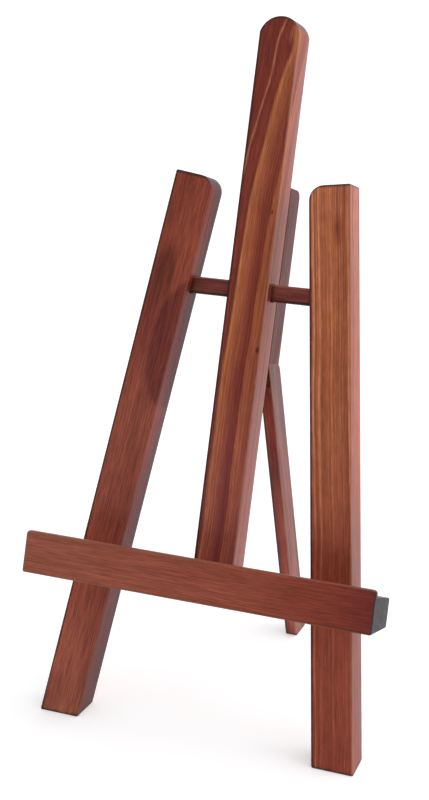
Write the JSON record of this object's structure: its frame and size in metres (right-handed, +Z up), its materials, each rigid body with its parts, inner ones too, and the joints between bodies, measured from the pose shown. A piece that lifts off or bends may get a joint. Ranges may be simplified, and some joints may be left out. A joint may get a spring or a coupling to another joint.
{
  "type": "table easel",
  "caption": "Small wooden display easel: two splayed legs and a centre mast carry a lipped ledge, with a hinged rear leg that folds flat.",
  "frame": {"origin": "on the floor, under the middle of the easel's overall width and depth", "axes": "+Z up, -Y towards the viewer of the canvas (front), +X to that viewer's right"},
  "size_m": [0.2144, 0.168, 0.3926],
  "materials": {
    "left_leg_wood": "satin, red-brown stain",
    "right_leg_wood": "satin, red-brown stain",
    "mast_wood": "satin, red-brown stain",
    "ledge_wood": "satin, red-brown stain",
    "crossbar_wood": "satin, dark red-brown stain",
    "block_wood": "satin, red-brown stain",
    "rear_leg_wood": "satin, red-brown stain",
    "dowel_wood": "unstained, matte",
    "hinge_brass": "antique, dark patina",
    "hinge_screw_brass": "antique, dark patina",
    "pin_steel": "satin",
    "wood_screw_steel": "zinc plated, satin"
  },
  "bodies": {
    "easel_frame": {"left_leg": "left_leg_wood", "right_leg": "right_leg_wood", "mast": "mast_wood", "crossbar": "crossbar_wood", "ledge": "ledge_wood", "stop_block": "block_wood", "hinge_leaf_fixed": "hinge_brass", "hinge_pin": "pin_steel", "hinge_screw_fixed_upper": "hinge_screw_brass", "hinge_screw_fixed_lower": "hinge_screw_brass", "ledge_screw_left": "wood_screw_steel", "ledge_screw_mast_left": "wood_screw_steel", "ledge_screw_mast_right": "wood_screw_steel", "ledge_screw_right": "wood_screw_steel", "block_screw_lower": "wood_screw_steel", "block_screw_upper": "wood_screw_steel", "crossbar_dowel_left": "dowel_wood", "crossbar_dowel_middle": "dowel_wood", "crossbar_dowel_right": "dowel_wood"},
    "rear_leg": {"rear_leg": "rear_leg_wood", "hinge_leaf_moving": "hinge_brass", "hinge_screw_moving_upper": "hinge_screw_brass", "hinge_screw_moving_lower": "hinge_screw_brass"}
  },
  "joints": [
    {"name": "rear_leg_hinge", "type": "hinge", "parent": "easel_frame", "child": "rear_leg", "pos_m": [0.0086, 0.01245, 0.20013], "axis": [1, 0, 0], "range_deg": [-33.3, 0]}
  ]
}
